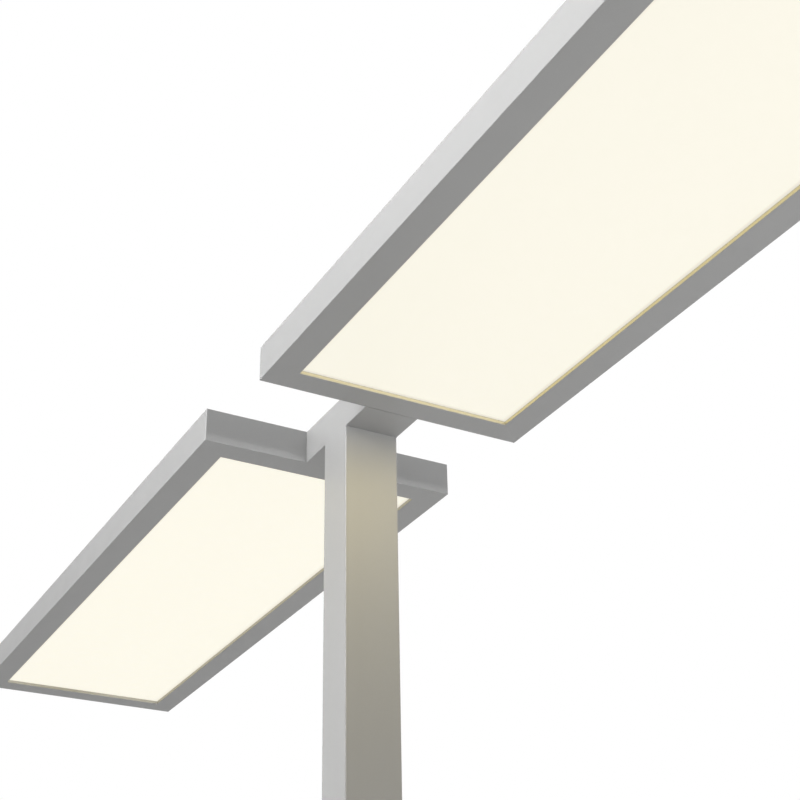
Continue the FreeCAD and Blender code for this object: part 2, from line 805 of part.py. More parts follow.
def beam_channel():
    """U-shaped channel. Its floor is drilled for the cable and the screws into the post."""
    body = doc.addObject("PartDesign::Body", "channel")
    half, inner = "post_depth / 2", "post_depth / 2 - beam_wall"
    outline = [
        (f"-({half})", "0"),
        (half, "0"),
        (half, "head_height"),
        (inner, "head_height"),
        (inner, "beam_wall"),
        (f"-({inner})", "beam_wall"),
        (f"-({inner})", "head_height"),
        (f"-({half})", "head_height"),
    ]
    pad(body, sketch(body, "YZ_Plane", [outline]), "beam_length", midplane=True)
    soften(
        body,
        "Fillet",
        "edge_round",
        lambda edge, middle: near(middle.z, value("head_height")) and near(abs(middle.y), value(half)),
    )
    put(body, (0, 0, UNDERSIDE))
    level = f"{UNDERSIDE} - overshoot"
    depth = "beam_wall + 2 * overshoot"
    holes = [
        rod("bolt_radius + hole_clearance", depth, (x, y, level))
        for x, y in four("bolt_spread_x", "bolt_spread_y")
    ]
    way = rod("cable_way_radius", depth, (0, 0, level))
    name(carve(body, holes + [way] + beam_roundings()), "beam_channel")


def beam_roundings():
    """Round the beam's two lower edges on both sides of the post, which stands flush under it."""
    cutters = []
    for end in (1, -1):
        for side in (1, -1):
            span_x = [f"{end} * post_width / 2", f"{end} * ({BEAM_END} + overshoot)"][::end]
            y_in, y_out = f"{side} * (post_depth / 2 - edge_round)", f"{side} * post_depth"
            strip = block(
                span_x,
                [y_in, y_out][::side],
                (f"{UNDERSIDE} - overshoot", f"{UNDERSIDE} + edge_round"),
            )
            core = rod(
                "edge_round", "2 * beam_length", ("-beam_length", y_in, f"{UNDERSIDE} + edge_round"), "x"
            )
            cutters.append(carve(strip, [core]))
    return cutters


def head_screw_holes(start, length, level, clearance):
    """Two screw holes and the cable way along X, between the beam and a head."""
    radius = f"bolt_radius + {clearance}"
    holes = [rod(radius, length, (start, f"{sign} * head_bolt_offset", level), "x") for sign in (1, -1)]
    return holes + [rod("head_way_radius", length, (start, 0, level), "x")]


def lid_screw_places():
    """Two lid screws over each end plate."""
    return four(f"{BEAM_END} - end_plate / 2", "lid_screw_offset")


def beam_end_plates():
    """Plates welded into the ends of the channel, drilled for the heads and the lid."""
    threads = [
        rod(
            "small_screw_radius + screw_clearance",
            "small_screw_length + thread_spare",
            (x, y, "overall_height"),
            "-z",
        )
        for x, y in lid_screw_places()
    ]
    plates = []
    for span in ((f"-{BEAM_END}", f"-{BEAM_END} + end_plate"), (f"{BEAM_END} - end_plate", BEAM_END)):
        plates.append(
            block(
                span,
                ("-post_depth / 2 + beam_wall", "post_depth / 2 - beam_wall"),
                (f"{UNDERSIDE} + beam_wall", f"{UNDERSIDE} + {LID_BOTTOM}"),
            )
        )
    holes = head_screw_holes(
        f"-{BEAM_END} - overshoot",
        "beam_length + 2 * overshoot",
        f"{UNDERSIDE} + bolt_level",
        "hole_clearance",
    )
    cutter = join(holes + threads)
    name(gather([carve(single, [cutter]) for single in plates]), "beam_end_plates")


def beam_lid():
    """Lid between the walls of the channel, flush with the top of the heads."""
    lid = block(
        (f"-{BEAM_END}", BEAM_END),
        ("-post_depth / 2 + beam_wall + slip", "post_depth / 2 - beam_wall - slip"),
        (f"{UNDERSIDE} + {LID_BOTTOM}", f"{UNDERSIDE} + head_height"),
    )
    holes = [
        put(
            flat_hole("small_screw_radius", "lid_thickness + overshoot", "hole_clearance"),
            (x, y, "overall_height"),
            "-z",
        )
        for x, y in lid_screw_places()
    ]
    name(carve(lid, holes), "beam_lid")


def beam_lid_screws():
    """Four small screws through the lid into the end plates."""
    screws = [
        put(
            flat_screw("small_screw_radius", "small_screw_length"),
            (x, y, "overall_height - screw_clearance"),
            "-z",
        )
        for x, y in lid_screw_places()
    ]
    name(gather(screws), "beam_lid_screws")


def neck_bolts():
    """Four socket screws, from inside the beam into the neck block."""
    screws = [
        put(cap_screw("neck_bolt_length"), (x, y, f"{UNDERSIDE} + beam_wall"), "-z")
        for x, y in four("bolt_spread_x", "bolt_spread_y")
    ]
    name(gather(screws), "neck_bolts")


def terminal_block():
    """Terminal block on the floor of the beam, with a row of screw wells in its top."""
    low = f"{UNDERSIDE} + beam_wall"
    body = block(
        ("-terminal_start - terminal_length", "-terminal_start"),
        centred("terminal_width"),
        (low, f"{low} + terminal_height"),
    )
    wells = [
        rod(
            "well_radius",
            "well_depth",
            (
                f"-terminal_start - {row}",
                f"{step} * well_spacing",
                f"{low} + terminal_height",
            ),
            "-z",
        )
        for row in ("well_inset", "(terminal_length - well_inset)")
        for step in (-1.5, -0.5, 0.5, 1.5)
    ]
    name(carve(body, wells), "terminal_block")


# Heads. Their pieces are made with X out along the head from the end of the beam, Y across it and Z
# up from its underside. The left head is the right one turned half round.


# The two ends of a head, each with the direction that leads inwards from it.
HEAD_ENDS = (("0", 1), ("head_length", -1))


def seat_on_beam(thing, side):
    """Moves a piece of a head to its end of the beam."""
    turn = 0 if side == 1 else 180
    thing.Placement = FreeCAD.Placement(Vector(), Rotation(Vector(0, 0, 1), turn))
    bind(thing, "Placement.Base.x", f"{side} * {BEAM_END}")
    bind(thing, "Placement.Base.z", UNDERSIDE)
    return thing


def rail_section(face, inward):
    """Section of a head's rail, inwards from the place of its outer face."""
    steps = [
        ("0", "0"),
        ("border", "0"),
        ("border", "shelf_height"),
        ("border - shelf_width", "shelf_height"),
        ("border - shelf_width", "flange_thickness"),
        ("rail_wall", "flange_thickness"),
        ("rail_wall", LEDGE_BOTTOM),
        ("rail_wall + ledge_width", LEDGE_BOTTOM),
        ("rail_wall + ledge_width", COVER_BOTTOM),
        ("rail_wall", COVER_BOTTOM),
        ("rail_wall", "head_height"),
        ("0", "head_height"),
    ]
    return [(f"{face} + {inward} * ({distance})", level) for distance, level in steps]


def rail(along, face, inward, mitres):
    """One rail of a head: its section, rounded along its outer and inner edges and mitred at both ends."""
    body = doc.addObject("PartDesign::Body", "rail")
    section = [rail_section(face, inward)]
    if along == "x":
        pad(body, sketch(body, "YZ_Plane", section), "head_length")
    else:
        pad(body, sketch(body, "XZ_Plane", section), "head_width", midplane=True)

    opening = value(f"{face} + {inward} * border")

    def outer(edge, middle):
        across = middle.y if along == "x" else middle.x
        return near(across, value(face)) and edge.Length > value("border")

    def lip(edge, middle):
        across = middle.y if along == "x" else middle.x
        return near(across, opening) and near(middle.z, 0) and edge.Length > value("border")

    soften(body, "Fillet", "edge_round", outer)
    soften(body, "Fillet", "opening_round", lip)
    pocket(body, sketch(body, "XY_Plane", mitres))
    return body


def corner_cutters():
    """Round off the four upright corners of a head."""
    half = "head_width / 2"
    cutters = []
    for end, inward in HEAD_ENDS:
        for side in (1, -1):
            x, y = f"{end} + {inward} * corner_round", f"{side} * ({half} - corner_round)"
            span_x = [f"{end} - {inward} * overshoot", x][::inward]
            span_y = [y, f"{side} * ({half} + overshoot)"][::side]
            wedge = block(span_x, span_y, ("-overshoot", "head_height + overshoot"))
            pillar = rod("corner_round", "head_height + 4 * overshoot", (x, y, "-2 * overshoot"))
            cutters.append(carve(wedge, [pillar]))
    return join(cutters)


def head_rails(side, label):
    """The four rails of a head, mitred at the corners."""
    half, reach = "head_width / 2", "2 * border"
    cutters = corner_cutters()
    threads = [
        rod("small_screw_radius + screw_clearance", "small_screw_length", (x, y, COVER_BOTTOM), "-z")
        for x, y in ledge_screw_places()
    ]
    for sign in (-1, 1):
        edge = f"{sign} * ({half})"
        beside = f"{sign} * ({half} - {reach})"
        mitres = [
            [(end, edge), (end, beside), (f"{end} + {inward} * ({reach})", beside)]
            for end, inward in HEAD_ENDS
        ]
        long_rail = carve(rail("x", edge, -sign, mitres), [cutters] + threads)
        word = "back" if sign == side else "front"
        name(seat_on_beam(long_rail, side), f"{label}_{word}_rail")
    holes = head_screw_holes("-overshoot", "rail_wall + 2 * overshoot", "bolt_level", "hole_clearance")
    for word, (end, inward) in zip(("inner", "outer"), HEAD_ENDS):
        beside = f"{end} + {inward} * ({reach})"
        mitres = [
            [
                (end, f"{sign} * ({half})"),
                (beside, f"{sign} * ({half})"),
                (beside, f"{sign} * ({half} - {reach})"),
            ]
            for sign in (1, -1)
        ]
        tools = [cutters] + (holes if word == "inner" else [])
        short_rail = carve(rail("y", end, inward, mitres), tools)
        name(seat_on_beam(short_rail, side), f"{label}_{word}_rail")


def between(edge):
    """Limits along and across the head at one distance from its outer faces."""
    return (
        (edge, f"head_length - {edge}"),
        (f"-head_width / 2 + {edge}", f"head_width / 2 - {edge}"),
    )


def head_piece(parts, side, label):
    """Puts a finished set of solids in a head and names it."""
    name(seat_on_beam(gather(parts), side), label)


def corner_keys(side, label):
    """Angles inside the corners, which hold the mitres together."""
    keys = []
    half = "head_width / 2"
    for end, inward in HEAD_ENDS:
        for sign in (1, -1):
            x0 = f"{end} + {inward} * rail_wall"
            x1 = f"{x0} + {inward} * key_leg"
            x_in = f"{x0} + {inward} * key_thickness"
            y0 = f"{sign} * ({half} - rail_wall)"
            y1 = f"{sign} * ({half} - rail_wall - key_leg)"
            y_in = f"{sign} * ({half} - rail_wall - key_thickness)"
            level = ("flange_thickness", "flange_thickness + key_height")
            along = block((x0, x1)[::inward], (y_in, y0)[::sign], level)
            across = block((x0, x_in)[::inward], (y1, y0)[::sign], level)
            keys.append(join([along, across]))
    head_piece(keys, side, f"{label}_corner_keys")


def lit_panel(side, label):
    """Diffuser, light guide, reflector film, light strips and the tray over them."""
    x, y = between(PANEL_EDGE)
    head_piece([block(x, y, ("shelf_height", GUIDE_BOTTOM))], side, f"{label}_diffuser")
    y_guide = between(GUIDE_EDGE)[1]
    head_piece([block(x, y_guide, (GUIDE_BOTTOM, FILM_BOTTOM))], side, f"{label}_light_guide")
    head_piece([block(x, y_guide, (FILM_BOTTOM, TRAY_INSIDE))], side, f"{label}_reflector_film")
    shell = block(*between(TRAY_EDGE), ("shelf_height", TRAY_TOP))
    hollow = block(*between(STRIP_EDGE), ("shelf_height - overshoot", TRAY_INSIDE))
    depth = "tray_sheet + 2 * overshoot"
    holes = [
        rod("lead_radius + slip", depth, (x_lead, f"{sign} * ({TRAY_SIDE} + overshoot)", STRIP_LEVEL), way)
        for x_lead, sign, way in ((SHORT_LEADS, 1, "-y"), (LONG_LEAD, -1, "y"))
    ]
    head_piece([carve(shell, [hollow] + holes)], side, f"{label}_backing_tray")


def light_boards(side, label):
    """The two edge strips beside the light guide and the board in the uplight trough."""
    outer = f"head_width / 2 - {STRIP_EDGE}"
    boards = [
        block(
            between(PANEL_EDGE)[0],
            (f"{sign} * ({outer} - strip_thickness)", f"{sign} * ({outer})")[::sign],
            (GUIDE_BOTTOM, FILM_BOTTOM),
        )
        for sign in (1, -1)
    ]
    level = f"{TRAY_TOP} + trough_sheet"
    boards.append(
        block(
            (WINDOW_START, WINDOW_END), centred("board_width"), (level, f"{level} + board_thickness")
        )
    )
    head_piece(boards, side, f"{label}_light_boards")


def uplight(side, label):
    """White trough on the tray, and the lens that closes it and fills the window in the cover."""
    x = (TROUGH_START, TROUGH_END)
    y = (f"-{TROUGH_SIDE}", TROUGH_SIDE)
    shell = block(x, y, (TRAY_TOP, f"{COVER_BOTTOM} - cover_thickness"))
    hollow = block(
        (f"{x[0]} + trough_sheet", f"{x[1]} - trough_sheet"),
        (f"{y[0]} + trough_sheet", f"{y[1]} - trough_sheet"),
        (f"{TRAY_TOP} + trough_sheet", COVER_BOTTOM),
    )
    hole = rod(
        "lead_radius + slip",
        "trough_sheet + 2 * overshoot",
        (SHORT_LEADS, f"{TROUGH_SIDE} + overshoot", BOARD_LEAD_LEVEL),
        "-y",
    )
    head_piece([carve(shell, [hollow, hole])], side, f"{label}_uplight_trough")
    flange = block(x, y, (f"{COVER_BOTTOM} - cover_thickness", COVER_BOTTOM))
    raised = block(
        (f"{WINDOW_START} + slip", f"{WINDOW_END} - slip"),
        centred("window_width - 2 * slip"),
        (COVER_BOTTOM, "head_height"),
    )
    head_piece([join([flange, raised])], side, f"{label}_uplight_lens")


def standoff_places():
    """Three standoffs along each long side of the head."""
    return [
        (x, f"{sign} * standoff_offset")
        for x in ("standoff_inset", "head_length / 2", "head_length - standoff_inset")
        for sign in (1, -1)
    ]


def ledge_screw_places():
    """Screws through the cover into the ledges of the two long rails, beside the standoffs."""
    reach = "(head_width / 2 - rail_wall - ledge_width / 2)"
    return [(x, f"{y} / standoff_offset * {reach}") for x, y in standoff_places()]


def cover(side, label):
    """Top cover on the rails' ledge, with its window, and the standoffs and screws that hold it."""
    lid = block(*between("(rail_wall + slip)"), (COVER_BOTTOM, "head_height"))
    window = block(
        (WINDOW_START, WINDOW_END),
        centred("window_width"),
        (f"{COVER_BOTTOM} - overshoot", "head_height + overshoot"),
    )
    posts, screws, holes = [], [], []
    for x, y in standoff_places():
        pillar = rod("standoff_radius", f"{COVER_BOTTOM} - {TRAY_TOP}", (x, y, TRAY_TOP))
        thread = rod(
            "small_screw_radius + screw_clearance", "small_screw_length", (x, y, "head_height"), "-z"
        )
        posts.append(carve(pillar, [thread]))
    for x, y in standoff_places() + ledge_screw_places():
        hole = flat_hole("small_screw_radius", "cover_thickness + overshoot", "hole_clearance")
        holes.append(put(hole, (x, y, "head_height"), "-z"))
        screw = flat_screw("small_screw_radius", "small_screw_length - thread_spare")
        screws.append(put(screw, (x, y, "head_height - screw_clearance"), "-z"))
    head_piece([carve(lid, [window] + holes)], side, f"{label}_top_cover")
    head_piece(posts, side, f"{label}_standoffs")
    head_piece(screws, side, f"{label}_cover_screws")


def driver(side, label):
    """Power supply on the tray, beside the trough, with a step at each end for its terminals."""
    low, high = "driver_start", "driver_start + driver_length"
    y = ("driver_offset - driver_width / 2", "driver_offset + driver_width / 2")
    top = f"{TRAY_TOP} + driver_height"
    case = block((low, high), y, (TRAY_TOP, top))
    inside = (f"{y[0]} + driver_step_wall", f"{y[1]} - driver_step_wall")
    steps = [
        block(span, inside, (f"{top} - driver_step_depth", f"{top} + overshoot"))
        for span in (
            (f"{low} - overshoot", f"{low} + driver_step_length"),
            (f"{high} - driver_step_length", f"{high} + overshoot"),
        )
    ]
    head_piece([carve(case, steps)], side, f"{label}_driver")


def fixings(side, label):
    """Threaded plate behind the end rail, and the two screws that come through from the beam."""
    body = block(
        ("rail_wall", "rail_wall + anchor_thickness"),
        ("-post_depth / 2 + beam_wall", "post_depth / 2 - beam_wall"),
        ("flange_thickness", LEDGE_BOTTOM),
    )
    holes = head_screw_holes(
        "rail_wall - overshoot", "anchor_thickness + 2 * overshoot", "bolt_level", "screw_clearance"
    )
    head_piece([carve(body, holes)], side, f"{label}_anchor_plate")
    screws = [
        put(
            cap_screw("head_bolt_length"),
            ("-end_plate", f"{sign} * head_bolt_offset", "bolt_level"),
            "x",
        )
        for sign in (1, -1)
    ]
    head_piece(screws, side, f"{label}_head_bolts")


# Cables inside the lamp: straight runs joined by tangent arcs


def cable(points, radius, bend):
    """A round cable along a route of corner points, with every corner rounded to one bend radius."""
    corners = [Vector(*[value(text) for text in point]) for point in points]
    thick, turn = value(radius), value(bend)
    edges, here = [], corners[0]
    for before, corner, after in zip(corners, corners[1:], corners[2:]):
        back = (before - corner).normalize()
        on = (after - corner).normalize()
        short = turn * math.tan((back * -1).getAngle(on) / 2)
        start, end = corner + back * short, corner + on * short
        centre = corner + (back + on).normalize() * math.hypot(short, turn)
        middle = centre + (corner - centre).normalize() * turn
        edges.append(Part.LineSegment(here, start).toShape())
        edges.append(Part.Arc(start, middle, end).toShape())
        here = end
    edges.append(Part.LineSegment(here, corners[-1]).toShape())
    path = Part.Wire(edges)
    ring = Part.Wire(Part.makeCircle(thick, corners[0], corners[1] - corners[0]))
    feature = doc.addObject("Part::Feature", "cable")
    feature.Shape = path.makePipeShell([ring], True, False)
    expected = math.pi * thick**2 * path.Length
    if abs(feature.Shape.Volume / expected - 1) > 0.01:
        raise RuntimeError(f"a cable does not fill its route: {points}")
    return feature


def post_cable():
    """From beside the tabs of the inlet, up through the post to the terminal block."""
    x, y = "-post_cable_radius", "-post_cable_offset"
    top = f"{UNDERSIDE} + beam_wall + terminal_entry"
    points = [
        (x, y, "inlet_level - inlet_box_height / 2"),
        (x, y, top),
        ("-terminal_start", y, top),
    ]
    name(cable(points, "post_cable_radius", "terminal_start - 2 * post_cable_radius"), "post_cable")


def control_cable():
    """From the back of the control's board, up through the post to the terminal block."""
    x, y = "control_cable_side", "control_cable_offset"
    top = f"{UNDERSIDE} + beam_wall + terminal_low_entry"
    points = [
        (x, f"{BOARD_FRONT} + board_thickness", "control_level"),
        (x, y, "control_level"),
        (x, y, top),
        ("-terminal_start", y, top),
    ]
    name(cable(points, "control_cable_radius", "control_cable_bend"), "control_cable")


def head_wiring(side, label):
    """The cable from the beam to a head's power supply, and the leads from there to its lights."""
    supply_level = f"{TRAY_TOP} + driver_entry"
    terminal = "-terminal_start" if side == 1 else "terminal_start + terminal_length"
    offset = f"{side} * head_cable_offset"
    feed = [
        (f"{terminal} - {BEAM_END}", offset, "bolt_level"),
        ("rail_wall + anchor_thickness + head_cable_straight", offset, "bolt_level"),
        (f"{TROUGH_START} - 2 * head_cable_radius", "driver_offset", supply_level),
        ("driver_start", "driver_offset", supply_level),
    ]
    strip_back = f"({TRAY_SIDE} - tray_sheet)"
    outside = f"({TRAY_SIDE} + 2 * lead_bend)"
    near_lead = [
        (SHORT_LEADS, "driver_offset + driver_width / 2", supply_level),
        (SHORT_LEADS, outside, supply_level),
        (SHORT_LEADS, outside, STRIP_LEVEL),
        (SHORT_LEADS, strip_back, STRIP_LEVEL),
    ]
    far_lead = [
        ("driver_start + driver_length", "driver_offset", supply_level),
        (LONG_LEAD, "driver_offset", supply_level),
        (LONG_LEAD, f"-{outside}", supply_level),
        (LONG_LEAD, f"-{outside}", STRIP_LEVEL),
        (LONG_LEAD, f"-{strip_back}", STRIP_LEVEL),
    ]
    board_lead = [
        (SHORT_LEADS, "driver_offset - driver_width / 2", BOARD_LEAD_LEVEL),
        (SHORT_LEADS, "board_width / 4", BOARD_LEAD_LEVEL),
    ]
    wires = [cable(feed, "head_cable_radius", "head_cable_bend")]
    wires += [cable(route, "lead_radius", "lead_bend") for route in (near_lead, far_lead, board_lead)]
    head_piece(wires, side, f"{label}_wiring")


base_plate()
glides()
foot_block()
foot_screws()
post()
neck_block()
set_screws()
control_bezel()
push_button(1, "brighter_button")
push_button(-1, "dimmer_button")
control_board()
inlet_housing()
name(gather(pin_solids("0")), "inlet_pins")
inlet_screws()
beam_channel()
beam_end_plates()
beam_lid()
beam_lid_screws()
neck_bolts()
terminal_block()
post_cable()
control_cable()
for side, label in ((1, "right"), (-1, "left")):
    head_rails(side, label)
    corner_keys(side, label)
    lit_panel(side, label)
    light_boards(side, label)
    uplight(side, label)
    cover(side, label)
    driver(side, label)
    fixings(side, label)
    head_wiring(side, label)

doc.recompute()
for thing in doc.Objects:
    if "Invalid" in thing.State or "Error" in thing.State:
        raise RuntimeError(f"{thing.Label} did not build: {thing.State}")
for piece in PIECES:
    if piece.Shape.isNull() or not piece.Shape.isValid() or not piece.Shape.Solids:
        raise RuntimeError(f"{piece.Label} has no sound shape")

os.makedirs("parts", exist_ok=True)
for piece in PIECES:
    piece.Shape.exportStep(f"parts/{piece.Label}.step")
    print(f"{piece.Label}: {len(piece.Shape.Solids)} solids, {piece.Shape.Volume / 1000:.1f} cm3")
print(f"{len(PIECES)} pieces")
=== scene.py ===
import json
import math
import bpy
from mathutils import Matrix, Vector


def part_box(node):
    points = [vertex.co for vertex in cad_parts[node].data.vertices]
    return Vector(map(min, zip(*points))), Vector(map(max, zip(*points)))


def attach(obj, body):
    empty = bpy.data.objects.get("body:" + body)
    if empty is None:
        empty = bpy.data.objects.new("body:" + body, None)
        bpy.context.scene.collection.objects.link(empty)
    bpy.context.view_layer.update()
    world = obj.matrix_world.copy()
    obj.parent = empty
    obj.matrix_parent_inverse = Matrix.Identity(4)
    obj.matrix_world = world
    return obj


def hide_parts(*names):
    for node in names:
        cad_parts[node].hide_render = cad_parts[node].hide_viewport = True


bl_info = {
    "name": "Office floor lamp",
    "version": (1, 0, 0),
    "blender": (4, 5, 0),
    "location": "3D View > Sidebar > Floor Lamp",
    "description": "Finishes, moulded details and studio of an office floor lamp",
    "category": "Object",
}

import bmesh
import bpy
from bpy.props import FloatProperty, FloatVectorProperty, IntProperty, PointerProperty
from mathutils import Matrix, Quaternion, Vector

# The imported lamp: its solids, the bodies they ride on and its record. All lengths are in metres,
# with Z up, X along the two heads and -Y the side that the control faces.
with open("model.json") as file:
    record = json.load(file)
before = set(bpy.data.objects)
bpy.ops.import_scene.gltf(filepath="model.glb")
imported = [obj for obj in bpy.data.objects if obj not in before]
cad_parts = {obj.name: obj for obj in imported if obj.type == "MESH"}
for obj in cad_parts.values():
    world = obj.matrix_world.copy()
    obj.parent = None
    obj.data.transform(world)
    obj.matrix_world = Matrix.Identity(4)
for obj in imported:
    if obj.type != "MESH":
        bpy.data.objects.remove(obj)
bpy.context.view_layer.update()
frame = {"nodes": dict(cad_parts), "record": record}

MM = 0.001
STAND = "stand"
BUTTONS = ("brighter_button", "dimmer_button")
HEADS = ("right", "left")
SMOOTH_NODES = ("post_tube", "beam_channel")
ACRYLIC_INDEX = 1.49  # refractive index of acrylic

# The glides. Their radius is that of the solids that they take the place of.
GLIDE_RADIUS = 15 * MM
GLIDE_CHAMFER = 1.0 * MM
GLIDE_RIM = 3 * MM  # from a glide's edge to the middle of its outermost groove
GROOVE_SLOPE = 0.15 * MM  # lean of a groove's walls
TURN_STEPS = 48
WELD_GAP = 0.001 * MM


# ---------------------------------------------------------------- settings


def colour(name, description, default):
    """A colour that a user can change, in linear light."""
    return FloatVectorProperty(
        name=name, description=description, subtype="COLOR", size=3, min=0, max=1, default=default
    )


def share(name, description, default):
    """A number from 0 to 1 that a user can change."""
    return FloatProperty(
        name=name, description=description, subtype="FACTOR", min=0, max=1, default=default
    )


def length(name, description, default):
    """A length that a user can change."""
    return FloatProperty(
        name=name, description=description, unit="LENGTH", min=0, precision=5, default=default
    )


def strength(name, description, default):
    """A brightness that a user can change."""
    return FloatProperty(name=name, description=description, min=0, default=default)


def power(name, description, default):
    """The power of a light that a user can change."""
    return FloatProperty(name=name, description=description, unit="POWER", min=0, default=default)


class LampPaint(bpy.types.PropertyGroup):
    """Satin silver-grey paint of the post, the beam, the heads and the base"""

    paint: colour("Paint", "Colour of the paint", (0.352, 0.352, 0.350))
    worn: colour("Worn edge", "Colour of the paint where an edge has been rubbed", (0.40, 0.40, 0.397))
    metallic: share("Metallic", "How much of the paint is metal flake", 0.14)
    roughness: share("Roughness", "Mean roughness of the paint", 0.47)
    flake_size: length("Flake size", "Width of one metal flake", 0.35 * MM)
    grain_size: length("Grain size", "Width of the fine grain of the sprayed paint", 0.9 * MM)
    grain_depth: length("Grain depth", "Height of the fine grain", 0.006 * MM)
    wear_width: length("Wear width", "How far the rubbed band reaches from an edge", 0.8 * MM)


class LampPanels(bpy.types.PropertyGroup):
    """Lit opal panels, the glow they throw on the frame, and the sheets behind them"""

    opal: colour("Opal", "Colour of the unlit opal sheet", (0.25, 0.242, 0.215))
    light: colour("Light", "Colour of the lit panel", (1.0, 0.965, 0.835))
    right_strength: strength("Right strength", "Brightness of the lit right panel", 0.745)
    left_strength: strength("Left strength", "Brightness of the lit left panel", 0.775)
    lens_strength: strength("Lens strength", "Brightness of the lit uplight lenses", 0.42)
    glow: colour("Glow", "Colour of the light just under the panels", (1.0, 0.76, 0.14))
    right_glow: power("Right glow", "Power of the light under the right panel", 0.97)
    left_glow: power("Left glow", "Power of the light under the left panel", 0.3)
    glow_gap: length("Glow gap", "Distance of that light below the panel", 0.4 * MM)
    # Painted shade: width of the band along a panel's edges where the opal is painted darker.
    edge_shade_width: length("Dim edge", "How far the dim band reaches in from the edge of a panel", 5 * MM)
    clear: colour("Clear acrylic", "Colour of the light guides", (0.90, 0.93, 0.92))
    white: colour("White paint", "Colour of the reflecting sheets", (0.83, 0.83, 0.81))
    film: colour("White film", "Colour of the reflector films", (0.88, 0.88, 0.87))


class LampMetals(bpy.types.PropertyGroup):
    """Bare metal parts inside the lamp, and its screws"""

    aluminium: colour("Aluminium", "Colour of the milled blocks and plates", (0.72, 0.73, 0.74))
    zinc: colour("Zinc", "Colour of the plated screws", (0.58, 0.59, 0.61))
    nickel: colour("Nickel", "Colour of the plated pins", (0.72, 0.69, 0.62))


class LampPlastics(bpy.types.PropertyGroup):
    """Moulded and rubber parts"""

    control: colour("Control", "Colour of the control's face", (0.045, 0.046, 0.048))
    button: colour("Buttons", "Colour of the push buttons", (0.42, 0.425, 0.43))
    mark: colour("Marks", "Colour of the marks on the push buttons", (0.05, 0.05, 0.052))
    inlet: colour("Inlet", "Colour of the mains inlet", (0.02, 0.02, 0.021))
    rubber: colour("Rubber", "Colour of the glides", (0.022, 0.022, 0.022))
    dust: colour("Dust", "Colour of the dusty patches of the glides", (0.06, 0.058, 0.055))
    case: colour("Power supply", "Colour of the power supplies' cases", (0.74, 0.74, 0.71))
    nylon: colour("Terminal", "Colour of the terminal block", (0.66, 0.64, 0.57))
    sheath: colour("Cables", "Colour of the cables' sheaths", (0.55, 0.55, 0.54))
    board: colour("Boards", "Colour of the circuit boards", (0.74, 0.76, 0.73))


class LampDetails(bpy.types.PropertyGroup):
    """Sizes of the small moulded details"""

    mark_reach: length("Mark reach", "Length of a mark's arms on a push button", 3.4 * MM)
    mark_width: length("Mark width", "Width of a mark's arms", 1.3 * MM)
    mark_height: length("Mark height", "How far a mark stands out", 0.25 * MM)
    groove_count: IntProperty(
        name="Grooves", description="Number of ring grooves under each glide", min=1, max=8, default=4
    )
    groove_width: length("Groove width", "Width of a ring groove", 1.0 * MM)
    groove_depth: length("Groove depth", "Depth of a ring groove", 0.7 * MM)


class LampStudio(bpy.types.PropertyGroup):
    """Floor, light and camera"""

    floor: colour("Floor", "Colour of the floor", (0.80, 0.80, 0.80))
    ambient: strength("Ambient", "Strength of the even light from all round", 0.22)
    lights: strength("Lights", "Strength of all the studio lights together", 1)
    camera: FloatVectorProperty(
        name="Camera", description="Place of the camera", subtype="TRANSLATION", size=3,
        default=(1.27101, -0.65462, 1.16154),
    )
    aim: FloatVectorProperty(
        name="Aim", description="Point that the camera looks at", subtype="TRANSLATION", size=3,
        default=(0.0, 0.04859, 1.97457),
    )
    roll: FloatProperty(
        name="Roll", description="Turn of the camera round its line of sight", subtype="ANGLE",
        default=math.radians(-1.0416),
    )
    focal_length: FloatProperty(
        name="Focal length", description="Focal length of the lens on a 36 mm sensor", unit="CAMERA",
        min=1, default=68.692,
    )


# ---------------------------------------------------------------- finishes


def dimmed(base, left):
    """A colour with only a share of its brightness left."""
    return [part * left for part in base]


